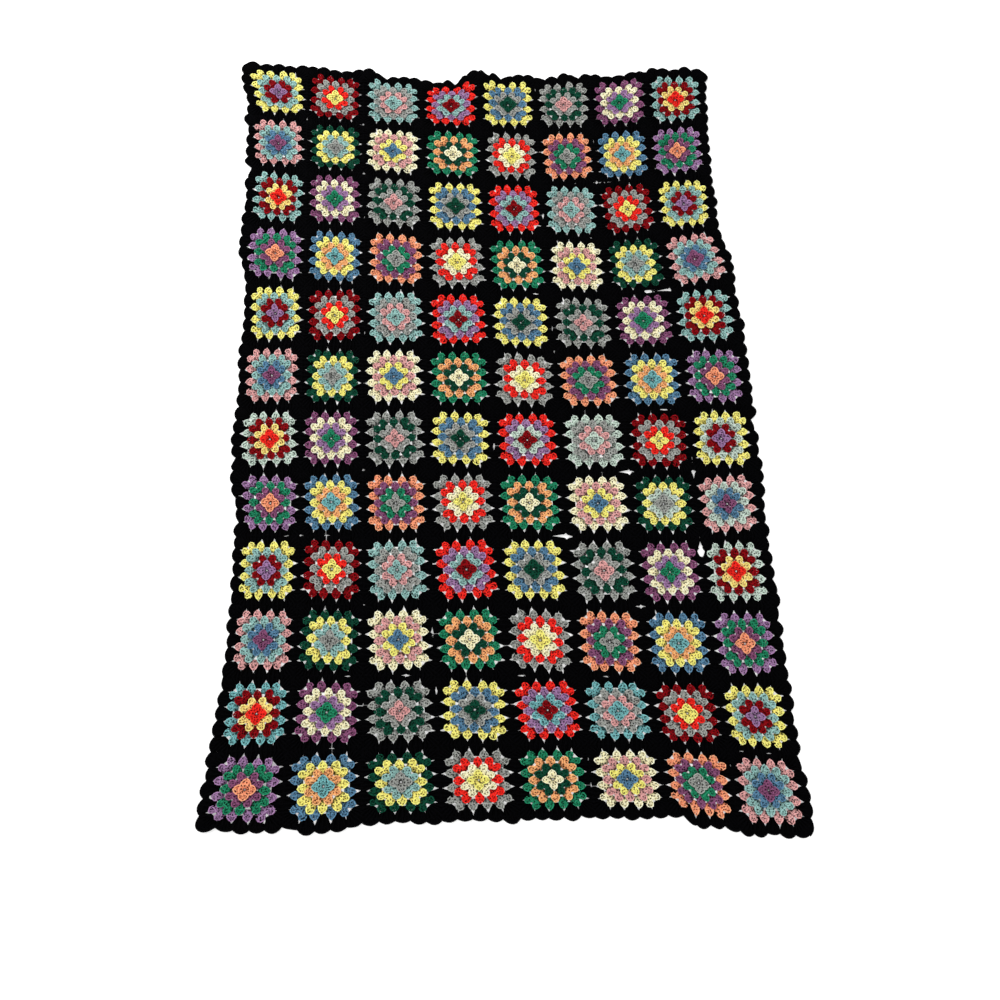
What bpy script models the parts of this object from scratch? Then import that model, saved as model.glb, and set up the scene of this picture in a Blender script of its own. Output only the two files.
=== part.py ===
"""A granny square blanket: crocheted squares joined into one sheet, with a scalloped edging.

Metres, +Z up.  The blanket lies on the ground plane: X runs across it, Y runs down its length,
and the origin is under the middle of its outline.  The sheet of joined squares is one solid and
the edging crocheted round it is another.  Both follow the way the soft cloth lies: its columns
lean and bow, its corners are pulled out, and a few low waves lift it off the ground.
"""
import math

import bmesh
import bpy

MM = 0.001

# --- the sheet of joined squares -----------------------------------------
SQUARES_ACROSS = 8
SQUARES_ALONG = 12
SQUARE_ACROSS = 140 * MM        # one square and its share of the joins
SQUARE_ALONG = 143 * MM         # the squares stretch a little down the length
THICKNESS = 4 * MM              # treble crochet in worsted yarn
CELLS_PER_SQUARE = 2.5          # the sheet bends at the corners of these cells

# --- the scalloped edging ------------------------------------------------
SEAM_GAP = 0.3 * MM             # room between the edging and the sheet
SCALLOPS_PER_SQUARE = 5
STEPS_PER_SCALLOP = 4
VALLEY_DEPTH = 7 * MM           # from the sheet to the dip between two scallops
CREST_DEPTH = 13 * MM           # from the sheet to the top of a scallop
CORNER_DEPTH = 16 * MM          # the fuller shell that turns each corner
CORNER_FAN = 28 * MM            # how far from a corner the shells still lean towards it

# --- how the blanket lies ------------------------------------------------
# Drift from a true rectangle, in mm, at five places across and seven down the length.  Places
# are counted in squares from the middle, "at" being the place down the length.
ACROSS_PLACES = {"left": -4, "left_middle": -2, "middle": 0, "right_middle": 2, "right": 4}

SIDEWAYS_DRIFT = [
    {"at": 6, "left": -20, "left_middle": -20, "middle": -20, "right_middle": -25, "right": -30},
    {"at": 4, "left": -5, "left_middle": -15, "middle": -10, "right_middle": -25, "right": -40},
    {"at": 2, "left": 5, "left_middle": -5, "middle": -5, "right_middle": -10, "right": -15},
    {"at": 0, "left": 10, "left_middle": -5, "middle": 0, "right_middle": 5, "right": 0},
    {"at": -2, "left": 20, "left_middle": 5, "middle": 5, "right_middle": 10, "right": 0},
    {"at": -4, "left": 15, "left_middle": 10, "middle": 20, "right_middle": 20, "right": 10},
    {"at": -6, "left": -15, "left_middle": 15, "middle": 35, "right_middle": 40, "right": 25},
]

LENGTHWAYS_DRIFT = [
    {"at": 6, "left": 55, "left_middle": 5, "middle": -5, "right_middle": -5, "right": 5},
    {"at": 4, "left": 45, "left_middle": 20, "middle": -5, "right_middle": -15, "right": 0},
    {"at": 2, "left": 25, "left_middle": 10, "middle": -10, "right_middle": -20, "right": 0},
    {"at": 0, "left": 10, "left_middle": 5, "middle": -5, "right_middle": -15, "right": -10},
    {"at": -2, "left": 10, "left_middle": 5, "middle": 0, "right_middle": -10, "right": -15},
    {"at": -4, "left": 10, "left_middle": 5, "middle": 0, "right_middle": -10, "right": -20},
    {"at": -6, "left": 10, "left_middle": 20, "middle": 25, "right_middle": 20, "right": -20},
]

# Low waves: the middle of each in squares from the middle of the blanket, the way its crest runs
# in degrees from X, and its half length, half width and height in mm.
WAVES = [
    {"across": 0.0, "along": 5.8, "heading": 80, "length": 120, "width": 60, "height": 10},
    {"across": -2.2, "along": 5.9, "heading": 95, "length": 110, "width": 70, "height": 7},
    {"across": 2.8, "along": 5.7, "heading": 75, "length": 130, "width": 60, "height": 8},
    {"across": -3.4, "along": -5.4, "heading": 50, "length": 160, "width": 70, "height": 7},
    {"across": 3.3, "along": -5.2, "heading": 130, "length": 170, "width": 70, "height": 8},
    {"across": 1.6, "along": 0.6, "heading": 20, "length": 220, "width": 80, "height": 5},
    {"across": -3.7, "along": 1.8, "heading": 70, "length": 180, "width": 70, "height": 5},
]

# Places where the edge bulges out, or is drawn in (-): the side, the place along it and half the
# length of the bulge in squares, and how far out it goes in mm.
BULGES = [
    {"side": "far", "at": -2.8, "half": 0.5, "out": 8},
    {"side": "far", "at": -1.9, "half": 0.4, "out": 16},
    {"side": "far", "at": -0.7, "half": 0.6, "out": -14},
    {"side": "far", "at": 0.0, "half": 0.4, "out": 12},
    {"side": "far", "at": 0.8, "half": 0.4, "out": 7},
    {"side": "far", "at": 1.3, "half": 0.5, "out": -6},
    {"side": "far", "at": 2.4, "half": 0.6, "out": -6},
    {"side": "far", "at": 3.2, "half": 0.5, "out": 9},
    {"side": "near", "at": -2.5, "half": 0.6, "out": 8},
    {"side": "near", "at": -1.7, "half": 0.6, "out": -5},
    {"side": "near", "at": 2.1, "half": 0.4, "out": -9},
    {"side": "near", "at": 3.0, "half": 0.8, "out": 9},
    {"side": "left", "at": -0.8, "half": 0.8, "out": 9},
    {"side": "left", "at": 1.5, "half": 0.8, "out": -5},
    {"side": "left", "at": 2.6, "half": 0.6, "out": 11},
    {"side": "left", "at": 5.8, "half": 0.6, "out": 12},
    {"side": "right", "at": -5.6, "half": 0.5, "out": 7},
    {"side": "right", "at": 2.3, "half": 0.5, "out": 6},
    {"side": "right", "at": 3.1, "half": 0.6, "out": -6},
]
BULGE_FADE = 1.0                # squares in from the edge over which a bulge dies away

# From the middle of the joined squares to the middle of the outline in which they lie.
MIDDLE_ACROSS = -3 * MM
MIDDLE_ALONG = 18 * MM

BLACK_YARN = (0.010, 0.010, 0.012, 1.0)
MIXED_YARN = (0.300, 0.240, 0.220, 1.0)

HALF_ACROSS = SQUARES_ACROSS * SQUARE_ACROSS / 2
HALF_ALONG = SQUARES_ALONG * SQUARE_ALONG / 2
CELLS_ACROSS = round(SQUARES_ACROSS * CELLS_PER_SQUARE)
CELLS_ALONG = round(SQUARES_ALONG * CELLS_PER_SQUARE)


def clear_scene():
    for obj in list(bpy.data.objects):
        bpy.data.objects.remove(obj, do_unlink=True)


def yarn_material(name, colour):
    material = bpy.data.materials.new(name)
    material.use_nodes = True
    shader = material.node_tree.nodes["Principled BSDF"]
    shader.inputs["Base Color"].default_value = colour
    shader.inputs["Roughness"].default_value = 0.9
    shader.inputs["Metallic"].default_value = 0.0
    return material


def smooth_between(places, values, at):
    """The value at a place on a smooth curve through the values, straight on past both ends."""
    slopes = []
    for i in range(len(places)):
        before = max(i - 1, 0)
        after = min(i + 1, len(places) - 1)
        slopes.append((values[after] - values[before]) / (places[after] - places[before]))
    if at <= places[0]:
        return values[0] + slopes[0] * (at - places[0])
    if at >= places[-1]:
        return values[-1] + slopes[-1] * (at - places[-1])
    i = max(k for k in range(len(places) - 1) if places[k] <= at)
    span = places[i + 1] - places[i]
    u = (at - places[i]) / span
    rise = u * u * (3 - 2 * u)
    ease_out = u * (1 - u) * (1 - u) * span
    ease_in = u * u * (u - 1) * span
    return (values[i] * (1 - rise) + values[i + 1] * rise
            + slopes[i] * ease_out + slopes[i + 1] * ease_in)


def drift(table, across, along):
    """The drift in mm at a place counted in squares from the middle."""
    rows = sorted(table, key=lambda row: row["at"])
    columns = list(ACROSS_PLACES)
    across_places = list(ACROSS_PLACES.values())
    at_each_row = [smooth_between(across_places, [row[c] for c in columns], across) for row in rows]
    return smooth_between([row["at"] for row in rows], at_each_row, along)


def lift(across, along):
    """The height in mm of the low waves at a place counted in squares from the middle."""
    height = 0.0
    for wave in WAVES:
        turn = math.radians(wave["heading"])
        away_x = (across - wave["across"]) * SQUARE_ACROSS / MM
        away_y = (along - wave["along"]) * SQUARE_ALONG / MM
        down_crest = away_x * math.cos(turn) + away_y * math.sin(turn)
        over_crest = away_y * math.cos(turn) - away_x * math.sin(turn)
        reach = (down_crest / wave["length"]) ** 2 + (over_crest / wave["width"]) ** 2
        if reach < 1:
            height += wave["height"] * (1 - reach) ** 2
    return height


def bulge(across, along):
    """How far the bulges of the edge carry a place sideways and lengthways, in mm."""
    sideways = 0.0
    lengthways = 0.0
    sides = {"left": (-1, 0), "right": (1, 0), "near": (0, -1), "far": (0, 1)}
    for row in BULGES:
        out_x, out_y = sides[row["side"]]
        inset = SQUARES_ACROSS / 2 - across * out_x if out_x else SQUARES_ALONG / 2 - along * out_y
        fade = min(max(1 - inset / BULGE_FADE, 0), 1)
        off = ((along if out_x else across) - row["at"]) / row["half"]
        if abs(off) < 1:
            reach = row["out"] * (1 - off * off) ** 2 * fade * fade
            sideways += out_x * reach
            lengthways += out_y * reach
    return sideways, lengthways


def lie(x, y):
    """Where a point of the flat cloth comes to lie."""
    across = x / SQUARE_ACROSS
    along = y / SQUARE_ALONG
    sideways, lengthways = bulge(across, along)
    sideways += drift(SIDEWAYS_DRIFT, across, along)
    lengthways += drift(LENGTHWAYS_DRIFT, across, along)
    return (x + sideways * MM - MIDDLE_ACROSS,
            y + lengthways * MM - MIDDLE_ALONG,
            lift(across, along) * MM)


def cell_corners():
    """Where the corner of each cell of the sheet lies, by its column and row."""
    corners = {}
    for column in range(CELLS_ACROSS + 1):
        for row in range(CELLS_ALONG + 1):
            x = HALF_ACROSS * (2 * column / CELLS_ACROSS - 1)
            y = HALF_ALONG * (2 * row / CELLS_ALONG - 1)
            corners[column, row] = lie(x, y)
    return corners


CORNERS = cell_corners()


def lie_on_cells(x, y):
    """Where a point lies when the cloth is straight between the corners of its cells."""
    u = (x / HALF_ACROSS + 1) / 2 * CELLS_ACROSS
    v = (y / HALF_ALONG + 1) / 2 * CELLS_ALONG
    column = min(max(math.floor(u), 0), CELLS_ACROSS - 1)
    row = min(max(math.floor(v), 0), CELLS_ALONG - 1)
    u -= column
    v -= row
    near = [CORNERS[column, row][k] * (1 - u) + CORNERS[column + 1, row][k] * u for k in range(3)]
    far = [CORNERS[column, row + 1][k] * (1 - u) + CORNERS[column + 1, row + 1][k] * u
           for k in range(3)]
    place = [near[k] * (1 - v) + far[k] * v for k in range(3)]
    place[2] = max(place[2], 0)
    return place


def thicken(bm):
    """Raise a copy of a sheet straight up by the cloth's thickness and close its edges."""
    raised = bmesh.ops.extrude_face_region(bm, geom=bm.faces[:], use_keep_orig=True)
    upper = [item for item in raised["geom"] if isinstance(item, bmesh.types.BMVert)]
    bmesh.ops.translate(bm, verts=upper, vec=(0, 0, THICKNESS))
    bmesh.ops.recalc_face_normals(bm, faces=bm.faces[:])


def finish_piece(bm, name, material, collection):
    mesh = bpy.data.meshes.new(name)
    bm.to_mesh(mesh)
    bm.free()
    mesh.materials.append(material)
    mesh.shade_smooth()
    mesh.set_sharp_from_angle(angle=math.radians(40))
    piece = bpy.data.objects.new(name, mesh)
    collection.objects.link(piece)
    return piece


def make_joined_squares(collection):
    """The sheet: a grid with a vertex at each cell corner, laid out and thickened."""
    bm = bmesh.new()
    bmesh.ops.create_grid(bm, x_segments=CELLS_ACROSS, y_segments=CELLS_ALONG, size=1)
    for vertex in bm.verts:
        vertex.co = lie_on_cells(vertex.co.x * HALF_ACROSS, vertex.co.y * HALF_ALONG)
    thicken(bm)
    return finish_piece(bm, "joined_squares", yarn_material("mixed_yarn", MIXED_YARN), collection)


def edging_sides():
    """Each side of the edging: its first corner, the way it runs, its length and its scallops."""
    width = 2 * HALF_ACROSS
    length = 2 * HALF_ALONG
    wide = SQUARES_ACROSS * SCALLOPS_PER_SQUARE
    long = SQUARES_ALONG * SCALLOPS_PER_SQUARE
    return [
        {"corner": (-HALF_ACROSS, -HALF_ALONG), "way": (1, 0), "length": width, "scallops": wide},
        {"corner": (HALF_ACROSS, -HALF_ALONG), "way": (0, 1), "length": length, "scallops": long},
        {"corner": (HALF_ACROSS, HALF_ALONG), "way": (-1, 0), "length": width, "scallops": wide},
        {"corner": (-HALF_ACROSS, HALF_ALONG), "way": (0, -1), "length": length, "scallops": long},
    ]


def edging_stations():
    """Pairs of flat points round the sheet: beside its edge, and on the scalloped outline."""
    stations = []
    for side in edging_sides():
        steps = side["scallops"] * STEPS_PER_SCALLOP
        for step in range(steps):
            run = side["length"] * step / steps
            to_start = max(0, 1 - run / CORNER_FAN)
            to_end = max(0, 1 - (side["length"] - run) / CORNER_FAN)
            lean = to_end - to_start
            crest = abs(math.cos(math.pi * step / STEPS_PER_SCALLOP)) ** 0.5
            depth = VALLEY_DEPTH + (CREST_DEPTH - VALLEY_DEPTH) * crest
            depth += (CORNER_DEPTH - CREST_DEPTH) * max(to_start, to_end)
            way_x, way_y = side["way"]
            out_x, out_y = way_y, -way_x
            edge_x = side["corner"][0] + way_x * run
            edge_y = side["corner"][1] + way_y * run
            inner = (edge_x + (out_x + way_x * (lean if step == 0 else 0)) * SEAM_GAP,
                     edge_y + (out_y + way_y * (lean if step == 0 else 0)) * SEAM_GAP)
            outer = (edge_x + (out_x + way_x * lean) * depth,
                     edge_y + (out_y + way_y * lean) * depth)
            stations.append((inner, outer))
    return stations


def make_scalloped_edging(collection):
    """The edging: a strip wrapped round the sheet, welded where it meets itself, and thickened."""
    stations = edging_stations()
    around = len(stations)
    bm = bmesh.new()
    bmesh.ops.create_grid(bm, x_segments=around, y_segments=1, size=1)
    for vertex in bm.verts:
        station = round((vertex.co.x + 1) / 2 * around) % around
        inner, outer = stations[station]
        vertex.co = lie_on_cells(*(outer if vertex.co.y > 0 else inner))
    bmesh.ops.remove_doubles(bm, verts=bm.verts[:], dist=0.01 * MM)
    thicken(bm)
    material = yarn_material("black_yarn", BLACK_YARN)
    return finish_piece(bm, "scalloped_edging", material, collection)


def main():
    clear_scene()
    collection = bpy.data.collections.new("granny_square_blanket")
    bpy.context.scene.collection.children.link(collection)
    make_joined_squares(collection)
    make_scalloped_edging(collection)


main()
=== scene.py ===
"""The granny square blanket's looks: every treble group, join and shell, worked in yarn."""
import math

import bpy
import numpy as np
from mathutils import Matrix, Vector


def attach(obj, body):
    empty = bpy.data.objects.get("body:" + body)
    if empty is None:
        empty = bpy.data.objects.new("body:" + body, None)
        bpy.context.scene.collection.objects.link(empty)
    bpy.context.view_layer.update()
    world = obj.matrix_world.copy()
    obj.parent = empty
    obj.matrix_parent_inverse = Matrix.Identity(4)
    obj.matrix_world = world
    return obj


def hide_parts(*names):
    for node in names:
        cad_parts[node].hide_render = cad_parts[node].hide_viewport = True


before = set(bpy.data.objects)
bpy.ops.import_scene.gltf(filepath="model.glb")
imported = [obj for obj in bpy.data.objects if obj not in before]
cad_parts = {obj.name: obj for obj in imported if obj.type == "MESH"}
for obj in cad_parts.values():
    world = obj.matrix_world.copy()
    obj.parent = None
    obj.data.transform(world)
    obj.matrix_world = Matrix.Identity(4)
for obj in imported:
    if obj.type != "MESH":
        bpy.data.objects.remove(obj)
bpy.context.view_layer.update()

MM = 0.001
SEED = 12

# --- the squares ---------------------------------------------------------
SQUARES_ACROSS = 8
SQUARES_ALONG = 12
SQUARE_ACROSS = 140 * MM        # one square and its share of the joins
SQUARE_ALONG = 143 * MM         # the squares stretch a little down the length
ROUNDS = 5                      # four in colours and the last in black
# How far each round's tips stand from the middle of the square, mm.
ROUND_TOPS = (21.5, 33.5, 45.5, 58, 71.5)
GROUP_SPACING = 28 * MM         # from one treble group to the next along a round
GROUP_TALL = 20                 # how tall a group is worked, most of it over the round before, mm
CORNER_SINK = 2 * MM            # how far a corner's groups start below the tips they stand between

# Hand tension: how far the squares and their groups stray from the pattern.
CENTRE_TURN = 6.0               # the most that a square's middle is turned, degrees
CENTRE_SHIFT = 1.6 * MM         # and the most that it is off its place
CENTRE_WIDTH = (0.82, 1.1)      # the first round's groups are between these times their width
GROUP_STRAY = 0.5 * MM
GROUP_TURN = 3.5                # degrees
GROUP_STRETCH = 0.03            # part of a group's width and of its height
# How freely each round strays: the ring holds the first and the joins hold the last.
LOOSENESS = (0.0, 1.0, 1.0, 1.0, 0.35)

# --- yarn and stitches ---------------------------------------------------
SHADE_SHEET_DEPTH = 1.3                 # thickness of the dark sheet of painted shade behind a group's strands, which fills the gaps between them, mm
SHADE_SHEET_RISE = 0.3                  # how far its top is above the strands' own slope, mm
SHADE_SHEET_PAINTED_LIGHT = 0.35                  # how far it is out of the painted shade, of 1
SHADE_SHEET_DARKEST_BELOW = 7.0            # but for its foot, painted in the deepest shade up to this far from the space it starts in, mm
PLAIN_PAINTED_LIGHT = 0.6                 # how far out of the painted shade a strand is where nothing else is said
TREBLE_WRAP = 1.5               # how far a treble's two strands swing apart, mm
HEAD_RISE = 2.0                 # a group's head lies this much higher than its foot, mm
FOOT_DROP = 1.1                 # and its foot this much lower than the middle of the cloth, mm
CHAIN_RISE = 3.4                # how fast the chain over a group rises as it grows plumper, mm
CHAIN_LEVEL = 0.65              # the plumpness at which it lies level with the group's head
WRAP_RISE = 1.5                 # height of the turns of yarn across a group, mm
CLOTH_MIDDLE = 2.9 * MM         # height of the middle of the crochet above the ground
YARN = 1.75 * MM                # radius of a strand of worsted yarn as it lies in a stitch
BLACK_YARN = 3.2 * MM           # a whole black treble, drawn as one thick strand
STRAND_SIDES = 3                # corners of a strand's section
STITCH_WANDER = 0.85 * MM       # how unevenly the coloured strands lie
BLACK_WANDER = 0.3 * MM
WANDER_SIZE = 9 * MM            # from one turn of the wandering to the next
NOISE_REACH = 0.25              # how far noise mostly strays from its middle value
FLOOR_GAP = 0.1 * MM            # the least that any yarn lies above the ground

# Yarn colours, as dyed, but for the pale aqua, which is aqua with painted light in it.
YARNS = {
    "lilac": "#96729a",
    "maroon": "#80060e",
    "aqua": "#8cb3ae",
    "sage": "#b8c8bc",
    "yellow": "#ffee7c",
    "red": "#f42820",
    "grey": "#969893",
    "turquoise": "#70aaac",
    "pink": "#d09a98",
    "dark green": "#0a4230",
    "blue": "#547b97",
    "green": "#207e5a",
    "cream": "#fff4c0",
    "purple": "#804c6e",
    "gold": "#ffd27e",
    "peach": "#faa870",
    "coral": "#ff9a74",
}
BLACK = "#020203"

# Seeds of the black pieces.  Each coloured yarn's is its number in the list above.
BLACK_SEED = 40
JOIN_SEED = 41
EDGING_SEED = 42

# The sixteen kinds of square: the yarns of their first four rounds, from the middle out.
KINDS = {
    "A": ("lilac", "maroon", "aqua", "yellow"),
    "B": ("yellow", "red", "grey", "maroon"),
    "C": ("aqua", "pink", "grey", "aqua"),
    "D": ("maroon", "aqua", "lilac", "red"),
    "E": ("dark green", "grey", "blue", "yellow"),
    "F": ("pink", "grey", "dark green", "grey"),
    "G": ("green", "lilac", "cream", "purple"),
    "H": ("red", "gold", "maroon", "aqua"),
    "I": ("purple", "blue", "aqua", "pink"),
    "J": ("grey", "aqua", "yellow", "dark green"),
    "K": ("blue", "yellow", "pink", "cream"),
    "L": ("cream", "dark green", "peach", "green"),
    "M": ("yellow", "cream", "red", "grey"),
    "N": ("grey", "green", "purple", "coral"),
    "O": ("turquoise", "peach", "yellow", "blue"),
    "P": ("coral", "purple", "green", "lilac"),
}
# Where they are sewn, from the far edge to the near one.  The order repeats every four rows,
# but for one pair that was swapped in the last row.
ROWS = [
    "ABCDEFGH", "IJKLMNOP", "HGFEDCBA", "PONMLKJI",
    "ABCDEFGH", "IJKLMNOP", "HGFEDCBA", "PONMLKJI",
    "ABCDEFGH", "IJKLMNOP", "HGFEDCBA", "POJMLKNI",
]
# Squares whose aqua is drawn paler and greener, as painted light where the light falls brightest, and
# ones whose aqua is drawn in the deeper turquoise: (row, column), from the far left.
AQUA_PAINTED_LIGHT_SQUARES = {(6, 5), (6, 4), (6, 7), (7, 6), (7, 7), (8, 7), (6, 0)}
TURQUOISE_SQUARES = {(10, 0), (10, 4), (10, 5)}

# --- how the blanket lies, as in the CAD ---------------------------------
# Drift from a true rectangle, in mm, at five places across and seven down the length, which are
# counted in squares from the middle.
ACROSS_PLACES = {"left": -4, "left_middle": -2, "middle": 0, "right_middle": 2, "right": 4}

SIDEWAYS_DRIFT = [
    {"at": 6, "left": -20, "left_middle": -20, "middle": -20, "right_middle": -25, "right": -30},
    {"at": 4, "left": -5, "left_middle": -15, "middle": -10, "right_middle": -25, "right": -40},
    {"at": 2, "left": 5, "left_middle": -5, "middle": -5, "right_middle": -10, "right": -15},
    {"at": 0, "left": 10, "left_middle": -5, "middle": 0, "right_middle": 5, "right": 0},
    {"at": -2, "left": 20, "left_middle": 5, "middle": 5, "right_middle": 10, "right": 0},
    {"at": -4, "left": 15, "left_middle": 10, "middle": 20, "right_middle": 20, "right": 10},
    {"at": -6, "left": -15, "left_middle": 15, "middle": 35, "right_middle": 40, "right": 25},
]

LENGTHWAYS_DRIFT = [
    {"at": 6, "left": 55, "left_middle": 5, "middle": -5, "right_middle": -5, "right": 5},
    {"at": 4, "left": 45, "left_middle": 20, "middle": -5, "right_middle": -15, "right": 0},
    {"at": 2, "left": 25, "left_middle": 10, "middle": -10, "right_middle": -20, "right": 0},
    {"at": 0, "left": 10, "left_middle": 5, "middle": -5, "right_middle": -15, "right": -10},
    {"at": -2, "left": 10, "left_middle": 5, "middle": 0, "right_middle": -10, "right": -15},
    {"at": -4, "left": 10, "left_middle": 5, "middle": 0, "right_middle": -10, "right": -20},
    {"at": -6, "left": 10, "left_middle": 20, "middle": 25, "right_middle": 20, "right": -20},
]

# Low waves: the middle of each in squares from the middle of the blanket, the way its crest runs
# in degrees from X, and its half length, half width and height in mm.
WAVES = [
    {"across": 0.0, "along": 5.8, "heading": 80, "length": 120, "width": 60, "height": 10},
    {"across": -2.2, "along": 5.9, "heading": 95, "length": 110, "width": 70, "height": 7},
    {"across": 2.8, "along": 5.7, "heading": 75, "length": 130, "width": 60, "height": 8},
    {"across": -3.4, "along": -5.4, "heading": 50, "length": 160, "width": 70, "height": 7},
    {"across": 3.3, "along": -5.2, "heading": 130, "length": 170, "width": 70, "height": 8},
    {"across": 1.6, "along": 0.6, "heading": 20, "length": 220, "width": 80, "height": 5},
    {"across": -3.7, "along": 1.8, "heading": 70, "length": 180, "width": 70, "height": 5},
]

# Places where the edge bulges out, or is drawn in (-): the side, the place along it and half the
# length of the bulge in squares, and how far out it goes in mm.
BULGES = [
    {"side": "far", "at": -2.8, "half": 0.5, "out": 8},
    {"side": "far", "at": -1.9, "half": 0.4, "out": 16},
    {"side": "far", "at": -0.7, "half": 0.6, "out": -14},
    {"side": "far", "at": 0.0, "half": 0.4, "out": 12},
    {"side": "far", "at": 0.8, "half": 0.4, "out": 7},
    {"side": "far", "at": 1.3, "half": 0.5, "out": -6},
    {"side": "far", "at": 2.4, "half": 0.6, "out": -6},
    {"side": "far", "at": 3.2, "half": 0.5, "out": 9},
    {"side": "near", "at": -2.5, "half": 0.6, "out": 8},
    {"side": "near", "at": -1.7, "half": 0.6, "out": -5},
    {"side": "near", "at": 2.1, "half": 0.4, "out": -9},
    {"side": "near", "at": 3.0, "half": 0.8, "out": 9},
    {"side": "left", "at": -0.8, "half": 0.8, "out": 9},
    {"side": "left", "at": 1.5, "half": 0.8, "out": -5},
    {"side": "left", "at": 2.6, "half": 0.6, "out": 11},
    {"side": "left", "at": 5.8, "half": 0.6, "out": 12},
    {"side": "right", "at": -5.6, "half": 0.5, "out": 7},
    {"side": "right", "at": 2.3, "half": 0.5, "out": 6},
    {"side": "right", "at": 3.1, "half": 0.6, "out": -6},
]
BULGE_FADE = 1.0                # squares in from the edge over which a bulge dies away

# Narrower ones, and slight ones, that only the yarn shows.
PUCKERS = [
    {"side": "far", "at": -3.75, "half": 0.3, "out": -7},
    {"side": "far", "at": -1.65, "half": 0.15, "out": -7},
    {"side": "far", "at": -0.4, "half": 0.15, "out": -14},
    {"side": "far", "at": 0.15, "half": 0.1, "out": -9},
    {"side": "far", "at": 0.45, "half": 0.2, "out": -8},
    {"side": "far", "at": 1.1, "half": 0.2, "out": -6},
    {"side": "far", "at": 1.55, "half": 0.2, "out": 6},
    {"side": "far", "at": 1.75, "half": 0.15, "out": -7},
    {"side": "far", "at": 2.1, "half": 0.2, "out": 6},
    {"side": "far", "at": 2.95, "half": 0.1, "out": -8},
    {"side": "far", "at": 3.65, "half": 0.2, "out": 5},
    {"side": "near", "at": -3.8, "half": 0.35, "out": -9},
    {"side": "near", "at": -2.9, "half": 0.15, "out": -6},
    {"side": "near", "at": 2.0, "half": 0.3, "out": 3},
    {"side": "near", "at": 2.4, "half": 0.25, "out": 5},
    {"side": "near", "at": 2.4, "half": 0.2, "out": 5},
    {"side": "near", "at": 2.9, "half": 0.2, "out": -5},
    {"side": "left", "at": -3.0, "half": 3.2, "out": -4},
    {"side": "left", "at": -1.75, "half": 0.2, "out": -6},
    {"side": "left", "at": -1.25, "half": 0.25, "out": 5},
    {"side": "left", "at": -0.85, "half": 0.12, "out": -7},
    {"side": "left", "at": 1.5, "half": 2.0, "out": -2},
    {"side": "left", "at": 3.1, "half": 0.25, "out": 5},
    {"side": "left", "at": 3.95, "half": 0.15, "out": -9},
    {"side": "right", "at": -5.05, "half": 0.2, "out": -5},
    {"side": "right", "at": -2.9, "half": 0.25, "out": 6},
    {"side": "right", "at": -0.25, "half": 0.2, "out": -6},
    {"side": "right", "at": 1.4, "half": 0.3, "out": 5},
]
PUCKER_FADE = 0.25              # squares in from the edge over which a pucker dies away

# From the middle of the joined squares to the middle of the outline in which they lie.
MIDDLE_ACROSS = -3 * MM
MIDDLE_ALONG = 18 * MM

HALF_ACROSS = SQUARES_ACROSS * SQUARE_ACROSS / 2
HALF_ALONG = SQUARES_ALONG * SQUARE_ALONG / 2

# --- joins ---------------------------------------------------------------
JOIN_STITCHES = 14              # whip stitches along one side of a square
JOIN_YARN = 1.9 * MM
JOIN_REACH = 6 * MM             # a join stitch this near a gap is one of those that came undone

# Where a join has pulled apart: its middle in squares from the middle of the blanket, the way it
# runs, and half its length in squares.
GAPS = [
    {"across": 2.9, "along": 2.0, "runs": "across", "half": 0.14},
    {"across": 2.64, "along": 2.0, "runs": "across", "half": 0.07},
    {"across": 1.93, "along": -1.0, "runs": "across", "half": 0.14},
    {"across": 0.94, "along": -2.0, "runs": "across", "half": 0.16},
    {"across": 3.0, "along": -1.08, "runs": "along", "half": 0.12},
    {"across": 3.0, "along": -2.15, "runs": "along", "half": 0.12},
    {"across": -2.12, "along": -1.0, "runs": "across", "half": 0.1},
]
SMALL_GAPS = 90                 # and many small ones, anywhere along the joins
SMALL_GAP_HALF = 0.06           # half the length of one, squares
# Their places are drawn in to these parts of the way out, so that none is on the outline.
INNER_ACROSS = 0.85
INNER_ALONG = 0.9
LARGE_PULL = 8.5 * MM           # how far a group beside a large gap is drawn back from the join
SMALL_PULL = 5.5 * MM
GAP_DEPTH = 25 * MM             # how far into the square that pull is felt
GAP_TAPER = 1.3                 # how fully it is felt at the gap's middle, before it is capped at 1

# --- the edging ----------------------------------------------------------
SHELLS_PER_SQUARE = 5
SHELL_HALF = 15.5               # half the width of a shell, mm
SHELL_VALLEY = 1.8              # how far the edging reaches where two shells meet, mm
SHELL_RISE = 8.2                # and how much farther in the middle of a shell
SHELL_TREBLES = 5
SHELL_RIM_PLUMP = [0.55, 0.7, 0.78, 0.8, 0.78, 0.7, 0.55]       # of the chain over a shell
SHELL_STRAY = 0.8 * MM
SHELL_TURN = 5                  # how far a shell is turned from square by hand tension, degrees
SHELL_STRETCH = 0.15            # part of a shell's height
CORNER_SHELL_INSET = 8 * MM     # how far in from both edges the corner shells start
CORNER_SHELL_TALL = 1.05        # a corner shell's height to a plain one's
EDGING_YARN = 2.6 * MM          # a whole treble of the edging, drawn as one thick strand
EDGING_SIDES = 4                # corners of its section
EDGING_WANDER = 0.5 * MM

# --- floor, light and camera ---------------------------------------------
FLOOR_REACH = 6.0               # from its middle to each side, metres
# The floor's glow: painted light that lifts the shadow under the cloth and in its holes.
FLOOR_PAINTED_LIGHT = 0.3
SKY_STRENGTH = 0.68
# Soft square lights: where each hangs and how wide it is in metres, and its power in watts.
LIGHTS = [
    {"name": "window_light", "place": (-1.8, 1.6, 2.4), "size": 1.6, "power": 80},
    {"name": "fill_light", "place": (1.6, -1.4, 2.6), "size": 2.4, "power": 30},
]
CAMERA_PLACE = (0.006, -0.611, 1.545)
CAMERA_AIM = (0.014, -0.2275, 0)
CAMERA_LENS = 27.04             # on a sensor 36 wide, mm
CAMERA_SENSOR = 36


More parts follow.
